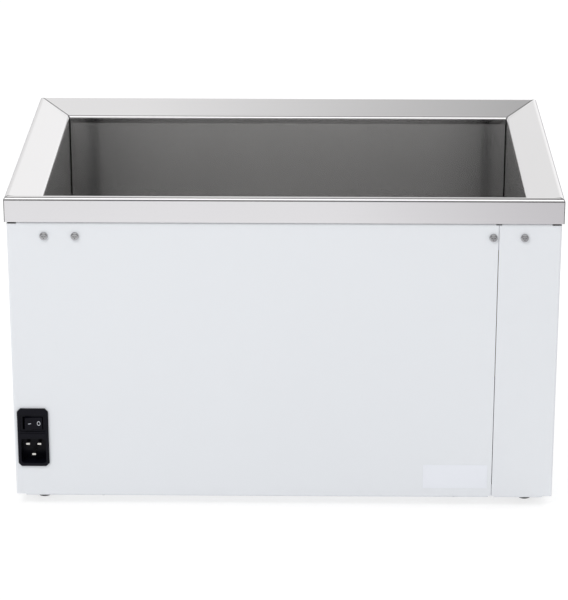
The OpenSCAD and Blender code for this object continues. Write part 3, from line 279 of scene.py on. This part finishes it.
# The screws are cold formed from bright stainless wire, with pan heads and a cross recess, so their heads
# are smooth with a fine turned mark. The clamp's studs are the same steel, welded under the tank.
def bright_metal(name, light, dark, roughness):
    metal = Finish(name, Metallic=1.0)
    mark = metal.noise(metal.place, (120, 120, 120), 3.0)
    metal.set(Base_Color=metal.blend(mark, light, dark), Roughness=roughness + mark * 0.05,
              Normal=metal.relief(mark, 0.004 * MM, metal.soft_edges(0.2 * MM)))
    return metal


dress(bright_metal("screw_steel", (0.55, 0.55, 0.55, 1), (0.44, 0.44, 0.45, 1), 0.05),
      "shell_screws", "base_screws", "foot_screws", "panel_screws", "board_screws", "clamp_studs")


# The feet are moulded in black rubber with a slight gloss, and each is held to the base plate by a screw
# in its recess.
def moulded(name, light, dark, roughness, grain=300, depth=0.01 * MM, edge=0.3 * MM):
    """Plastic or rubber, with a faint flow in its colour and a skin of fine grain."""
    plastic = Finish(name, IOR=1.5)
    skin = plastic.noise(plastic.place, (grain, grain, grain), 2.0)
    flow = plastic.noise(plastic.place, (30, 30, 30), 2.0)
    plastic.set(Base_Color=plastic.blend(flow, light, dark), Roughness=roughness + skin * 0.1,
                Normal=plastic.relief(skin, depth, plastic.soft_edges(edge)))
    return plastic


dress(moulded("foot_rubber", (0.012, 0.012, 0.012, 1), (0.022, 0.022, 0.022, 1), 0.28), "feet")


# The mains inlet is a glossy black moulding clipped into the rear sheet. A rocker switch tilts in its
# upper half, and its socket holds three blades. They are nickel plated, as are the tabs behind them and
# the sleeve of the tank's sensor.
inlet_black = moulded("inlet_gloss", (0.003, 0.003, 0.006, 1), (0.006, 0.006, 0.010, 1), 0.20,
                      grain=900, depth=0.004 * MM, edge=0.5 * MM)
inlet_black.set(Specular_IOR_Level=0.12)
dress(inlet_black, "inlet_housing", "rocker")
dress(bright_metal("nickel_blades", (0.82, 0.80, 0.76, 1), (0.70, 0.68, 0.63, 1), 0.20),
      "contact_blades", "switch_tabs", "tank_sensor")


# The rocker's marks are printed in white on the two slopes of its face: a dash on the left and an oval
# ring on the right.
def deselect():
    if bpy.context.object and bpy.context.object.mode == "EDIT":
        bpy.ops.object.mode_set(mode="OBJECT")
    bpy.ops.object.select_all(action="DESELECT")


def printed(piece, name, place, ink, body):
    """Names a printed mark, puts its place into its mesh and makes it ride on what it is printed on."""
    piece.data.transform(piece.matrix_world)
    piece.matrix_world = Matrix.Identity(4)
    piece.data.transform(place)
    piece.name = name
    piece.data.name = name
    piece.data.materials.append(ink.material)
    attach(piece, body)


ink_t = 0.06 * MM
ink_edge = 0.02 * MM


def flat_ring(radius, line, wide=1.0, high=1.0):
    """A ring pressed flat to the thickness of ink, and drawn out into an oval."""
    deselect()
    bpy.ops.mesh.primitive_torus_add(major_segments=48, minor_segments=8, major_radius=radius,
                                     minor_radius=line / 2)
    bpy.ops.object.mode_set(mode="EDIT")
    bpy.ops.mesh.select_all(action="SELECT")
    bpy.ops.transform.resize(value=(wide, high, ink_t / (line / 2)))
    bpy.ops.object.mode_set(mode="OBJECT")
    return bpy.context.object


pivot = Vector(next(joint for joint in frame["joints"] if joint["name"] == "rocker_tilt")["pos_m"])
rest_tilt = math.radians(7)
face_depth = 7 * MM
slope_depth = 9 * MM
slope_width = 9.7 * MM
face_slope = math.atan2(slope_width * math.tan(rest_tilt), slope_depth)


def on_rocker(side, distance):
    """From a flat mark's own frame, with Z outwards, to one half of the rocker's face."""
    turned = Matrix.Translation(pivot) @ Matrix.Rotation(rest_tilt, 4, "Z")
    ridge = Matrix.Translation((0, -face_depth, 0)) @ Matrix.Rotation(-side * face_slope, 4, "Z")
    out = Matrix.Translation((side * distance, 0, 0)) @ Matrix.Rotation(math.pi / 2, 4, "X")
    return turned @ ridge @ out


mark_ink = moulded("mark_ink", (0.80, 0.83, 0.88, 1), (0.74, 0.77, 0.82, 1), 0.5)
printed(flat_ring(1.75 * MM, 0.52 * MM, 0.85, 1.25), "rocker_ring", on_rocker(1, 5.4 * MM), mark_ink,
        "rocker")

deselect()
bpy.ops.mesh.primitive_cube_add(size=1, location=(0, 0, ink_t / 2), scale=(3.0 * MM, 0.6 * MM, ink_t))
dash = bpy.context.object
bpy.ops.object.transform_apply(location=True, rotation=True, scale=True)
bpy.ops.object.mode_set(mode="EDIT")
bpy.ops.mesh.select_all(action="SELECT")
bpy.ops.mesh.bevel(offset=ink_edge, segments=1)
bpy.ops.object.mode_set(mode="OBJECT")
printed(dash, "rocker_dash", on_rocker(-1, 4.2 * MM), mark_ink, "rocker")


# The control panel is a dark grey moulded bezel with a fine spark texture, screwed on from inside. A
# dark red window covers the display, and four light grey keys stand through it.
dress(moulded("bezel_grey", (0.030, 0.033, 0.037, 1), (0.038, 0.041, 0.046, 1), 0.38,
              grain=1500, depth=0.02 * MM, edge=0.6 * MM), "panel_bezel")
dress(moulded("window_red", (0.030, 0.002, 0.002, 1), (0.038, 0.003, 0.003, 1), 0.04,
              grain=40, depth=0.004 * MM), "display_window")
dress(moulded("key_grey", (0.60, 0.61, 0.62, 1), (0.56, 0.57, 0.585, 1), 0.40,
              grain=1500, depth=0.01 * MM, edge=0.5 * MM), "key_down", "key_up", "key_ok", "key_standby")


# The keys' marks are printed in dark grey: an arrow up, an arrow down, a dot to confirm and a ring for
# standby. The ink lies almost flush with the keys.
ink_proud = 0.02 * MM
arrow_r = 2.0 * MM
dot_r = 1.1 * MM


def flat_mark(sides, radius):
    """A triangle or a dot as thick as the ink, with its edges eased."""
    deselect()
    bpy.ops.mesh.primitive_circle_add(vertices=sides, radius=radius, fill_type="NGON")
    bpy.ops.object.mode_set(mode="EDIT")
    bpy.ops.mesh.select_all(action="SELECT")
    bpy.ops.mesh.extrude_region_move(TRANSFORM_OT_translate={"value": (0, 0, ink_t)})
    bpy.ops.mesh.select_all(action="SELECT")
    bpy.ops.mesh.normals_make_consistent(inside=False)
    bpy.ops.mesh.bevel(offset=ink_edge, segments=1)
    bpy.ops.object.mode_set(mode="OBJECT")
    return bpy.context.object


def on_key(key, turn=0.0):
    """From a flat mark's own frame, with Z outwards, to the middle of a key's face."""
    key_low, key_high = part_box(key)
    sunk = key_high.y - ink_t + ink_proud
    face = Vector(((key_low.x + key_high.x) / 2, sunk, (key_low.z + key_high.z) / 2))
    upright = Matrix.Rotation(math.pi, 4, "Z") @ Matrix.Rotation(math.pi / 2, 4, "X")
    return Matrix.Translation(face) @ upright @ Matrix.Rotation(turn, 4, "Z")


key_ink = moulded("key_ink", (0.040, 0.043, 0.047, 1), (0.055, 0.058, 0.062, 1), 0.5)
printed(flat_mark(3, arrow_r), "arrow_up", on_key("key_up"), key_ink, "key_up")
printed(flat_mark(3, arrow_r), "arrow_down", on_key("key_down", math.pi), key_ink, "key_down")
printed(flat_mark(32, dot_r), "ok_dot", on_key("key_ok"), key_ink, "key_ok")
printed(flat_ring(1.5 * MM, 0.5 * MM), "standby_ring", on_key("key_standby"), key_ink, "key_standby")


# The label is a film of white polyester with a slight gloss, stuck to the rear sheet, and bare. It is a
# shade bluer than the coat under it.
dress(moulded("label_film", (0.83, 0.85, 0.90, 1), (0.815, 0.835, 0.885, 1), 0.34,
              grain=400, depth=0.004 * MM), "rating_label")


# The drain stands in a black moulded recess in the front sheet: a ball valve of nickel-plated brass with
# white seats, a red moulded handle and a hose tail. The earth stud and the boards' spacers are plated
# the same way.
dress(moulded("niche_black", (0.014, 0.014, 0.015, 1), (0.020, 0.020, 0.021, 1), 0.45,
              grain=1500, depth=0.02 * MM, edge=0.6 * MM), "niche")
dress(bright_metal("nickel_brass", (0.74, 0.71, 0.64, 1), (0.64, 0.61, 0.54, 1), 0.18),
      "valve_body", "valve_locknut", "valve_ball", "valve_stem", "hose_tail", "earth_stud", "board_spacers")
dress(moulded("seat_white", (0.80, 0.80, 0.77, 1), (0.76, 0.76, 0.73, 1), 0.35), "valve_seats")
dress(moulded("handle_red", (0.42, 0.02, 0.015, 1), (0.36, 0.016, 0.012, 1), 0.30, edge=0.6 * MM),
      "valve_handle")


# The heater is a bent tube with a heat-browned sheath, pressed to the tank's floor. Mineral wool wraps
# the tank, and a brown moulded cut-out sits on the floor beside the heater.
dress(bright_metal("heater_sheath", (0.33, 0.29, 0.25, 1), (0.20, 0.17, 0.15, 1), 0.42), "heater")
dress(moulded("cutout_brown", (0.13, 0.05, 0.02, 1), (0.17, 0.07, 0.03, 1), 0.35), "overheat_cutout")

wool = Finish("mineral_wool", Roughness=0.95)
strands = wool.noise(wool.place, (420, 420, 60), 5.0)
clumps = wool.noise(wool.place, (45, 45, 45), 3.0)
wool.set(Base_Color=wool.blend(strands * 0.6 + clumps * 0.4, (0.62, 0.52, 0.22, 1), (0.80, 0.72, 0.42, 1)),
         Normal=wool.relief(strands, 1.0 * MM))
dress(wool, "tank_insulation")


# The two boards are woven glass under green lacquer. Soldered to them are moulded parts, a black
# anodised heat sink and a transformer, whose core is a stack of lacquered iron leaves.
board = Finish("board_green", IOR=1.5)
weave = board.add("ShaderNodeTexBrick", {"offset": 0.5}, {
    "Vector": board.place, "Scale": 220.0, "Color1": (0.010, 0.095, 0.030, 1),
    "Color2": (0.013, 0.110, 0.036, 1), "Mortar": (0.02, 0.16, 0.055, 1)}, "Color")
board.set(Base_Color=weave, Roughness=0.25 + board.noise(board.place, (60, 60, 60)) * 0.1)
dress(board, "power_board", "display_board")

dress(moulded("module_grey", (0.25, 0.25, 0.26, 1), (0.29, 0.29, 0.30, 1), 0.35), "led_display")
dress(moulded("component_black", (0.02, 0.02, 0.02, 1), (0.03, 0.03, 0.03, 1), 0.40),
      "tact_switches", "triac")
dress(moulded("relay_blue", (0.03, 0.08, 0.24, 1), (0.035, 0.09, 0.27, 1), 0.22), "relay")
dress(moulded("terminal_green", (0.03, 0.20, 0.05, 1), (0.04, 0.24, 0.06, 1), 0.38), "terminal_block")
dress(bright_metal("sink_black", (0.07, 0.07, 0.075, 1), (0.05, 0.05, 0.055, 1), 0.40), "heat_sink")

core = Finish("laminated_core", Metallic=0.3)
leaves = core.add("ShaderNodeTexWave", {"bands_direction": "Y"},
                  {"Vector": core.place, "Scale": 330.0, "Distortion": 0.4}, "Fac")
core.set(Base_Color=core.blend(leaves, (0.30, 0.17, 0.05, 1), (0.44, 0.28, 0.09, 1)),
         Roughness=0.35 + leaves * 0.2)
dress(core, "transformer")


# The leads inside the housing are stranded wire in soft plastic: blue for the mains, green for the
# earth, red for the heater, and off-white and grey for the sensor and the panel.
for lead, light, dark in (
        ("mains_leads", (0.02, 0.05, 0.27, 1), (0.03, 0.065, 0.32, 1)),
        ("earth_lead", (0.10, 0.38, 0.03, 1), (0.13, 0.44, 0.04, 1)),
        ("heater_leads", (0.38, 0.05, 0.03, 1), (0.44, 0.07, 0.04, 1)),
        ("sensor_lead", (0.76, 0.76, 0.73, 1), (0.70, 0.70, 0.67, 1)),
        ("panel_lead", (0.30, 0.30, 0.32, 1), (0.36, 0.36, 0.38, 1))):
    dress(moulded(lead + "_skin", light, dark, 0.45), lead)


# The floor is a plain white sheet, seen as the white of the background, which still takes the shadow.
# To metal it shows only a painted reflection: a glow with painted shade, greyer towards the right, and
# dark past its end 1.5 m from the bath's middle on the camera's side.
sheet_front = -1.50
sheet_fades = 0.10
sheet_shaded = (0.0, 0.45)
seen_glow = 0.70
seen_base = 0.36

deselect()
bpy.ops.mesh.primitive_circle_add(vertices=96, radius=9, fill_type="NGON", location=(0, 0, 0))
floor = bpy.context.object
floor.name = "floor"
paper = Finish("paper", Roughness=0.9, IOR=1.0, Emission_Strength=1.0)
seen = paper.ray("Camera")
mirrored = paper.ray("Glossy")
shade = paper.along(paper.place, "X").between(*sheet_shaded)
past_end = 1 - paper.along(paper.place, "Y").between(sheet_front - sheet_fades, sheet_front)
# Painted reflection and shade: metal sees this colour as the floor's glow, greyer towards the right and dark
# past the sheet's end.
reflection = paper.blend(shade, (0.885, 0.885, 0.90, 1), (0.645, 0.635, 0.655, 1))
reflection = paper.blend(past_end, reflection, (0.20, 0.20, 0.20, 1))
base = paper.blend(seen, (0.93, 0.93, 0.935, 1), (seen_base, seen_base, seen_base, 1))
glow = paper.blend(seen, (0, 0, 0, 1), (seen_glow, seen_glow, seen_glow, 1))
paper.set(Base_Color=paper.blend(mirrored, base, (0, 0, 0, 1)),
          Emission_Color=paper.blend(mirrored, glow, reflection))
floor.data.materials.append(paper.material)


# The studio is white to the camera. Metal and gloss see a grey room with a broad soft box above the
# camera, a pale wall behind the bath that is brighter at the right, and a ceiling over that wall that
# darkens to the right. All else gets one even light.
room_level = 0.20
side_level = 0.42
soft_box_level = 1.1475
even_light = 0.745

world = bpy.data.worlds.new("studio")
bpy.context.scene.world = world
world.use_nodes = True
sky = Nodes(world.node_tree)
towards = sky.add("ShaderNodeTexCoord", output="Generated")
sideways = sky.along(towards, "X")
upward = sky.math("ARCTAN2", sky.along(towards, "Z"), sky.along(towards, "Y") * -1.0)
degrees = upward * (180 / math.pi)
soft_box = degrees.between(24, 28) * (1 - degrees.between(66, 70)) * soft_box_level
ceiling = (0.50 - sideways * 2.7).clamped(0.20, 0.68)
wall = 0.63 + sideways.between(-0.25, 0.25) * 0.21
below_ceiling = degrees.between(135, 150)
behind = degrees.between(97, 101) * (ceiling + (wall - ceiling) * below_ceiling)
beside = abs(sideways).between(0.45, 0.62)
room = (room_level + soft_box + behind) * (1 - beside) + beside * side_level
gloss = sky.ray("Glossy")
direct = sky.math("MAXIMUM", sky.ray("Camera"), sky.ray("Transmission"))
background = world.node_tree.nodes["Background"]
background.inputs["Color"].default_value = (1, 1, 1, 1)
sky.feed(background.inputs["Strength"],
         direct + (1 - direct) * (gloss * room + (1 - gloss) * even_light))


# The lamps are a large soft one above and to the left of the camera, and a still larger one high behind
# the bath. Metal shows neither, because the soft box stands for them.
bath_middle = Vector((0, 0, 0.2))


def lamp(name, place, size, power):
    light = bpy.data.lights.new(name, "AREA")
    light.shape = "SQUARE"
    light.size = size
    light.energy = power
    holder = bpy.data.objects.new(name, light)
    bpy.context.scene.collection.objects.link(holder)
    holder.location = place
    holder.rotation_euler = (bath_middle - Vector(place)).to_track_quat("-Z", "Y").to_euler()
    holder.visible_glossy = False


lamp("key", (-1.1, -1.7, 2.5), 0.9, 26)
lamp("back", (1.4, 1.9, 2.0), 1.5, 26)
